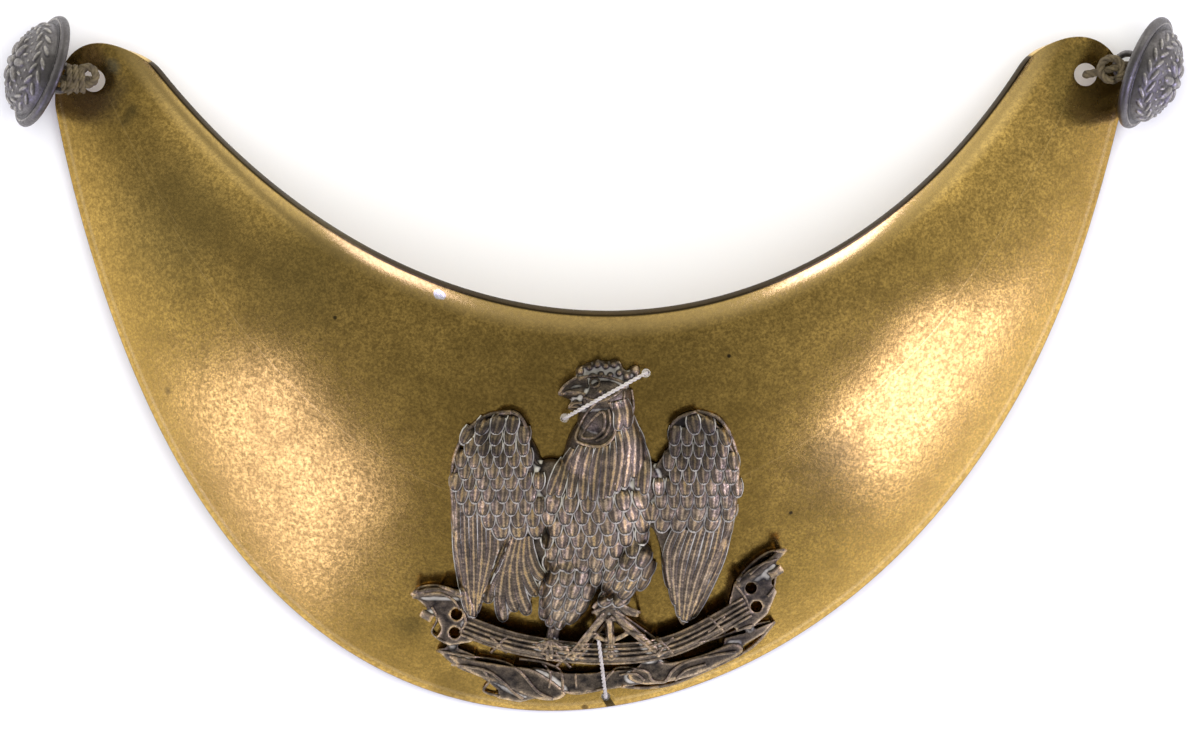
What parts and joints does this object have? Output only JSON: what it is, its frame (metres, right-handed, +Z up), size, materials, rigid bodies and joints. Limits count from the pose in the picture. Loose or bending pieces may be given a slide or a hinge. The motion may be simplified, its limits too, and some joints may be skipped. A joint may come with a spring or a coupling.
{
  "type": "gorget",
  "caption": "Domed crescent-shaped brass gorget with a cast cockerel emblem tied on by threads and a domed uniform button laced to each horn",
  "frame": {"origin": "on the floor, under the middle of the bounding box of the gorget as it lies on its back", "axes": "+X towards the wearer's left horn, which is on the right in the picture; +Y from the belly edge to the horns; +Z up from the floor, out of the gorget's front"},
  "size_m": [0.1538, 0.0906, 0.0284],
  "materials": {
    "aged_brass": "polished long ago, now toned brown-gold with fine tarnish",
    "dark_casting": "silvered cast brass, darkened in the hollows and worn gold on the highs",
    "white_thread": "matt cotton thread",
    "button_metal": "silvered brass, aged to dull grey",
    "lace_cord": "dirty twisted cord"
  },
  "bodies": {
    "root": {"plate": "aged_brass", "emblem": "dark_casting", "tie_upper": "white_thread", "tie_lower": "white_thread", "button_front_left": "button_metal", "button_back_left": "button_metal", "lace_left": "lace_cord", "button_front_right": "button_metal", "button_back_right": "button_metal", "lace_right": "lace_cord"}
  },
  "joints": []
}
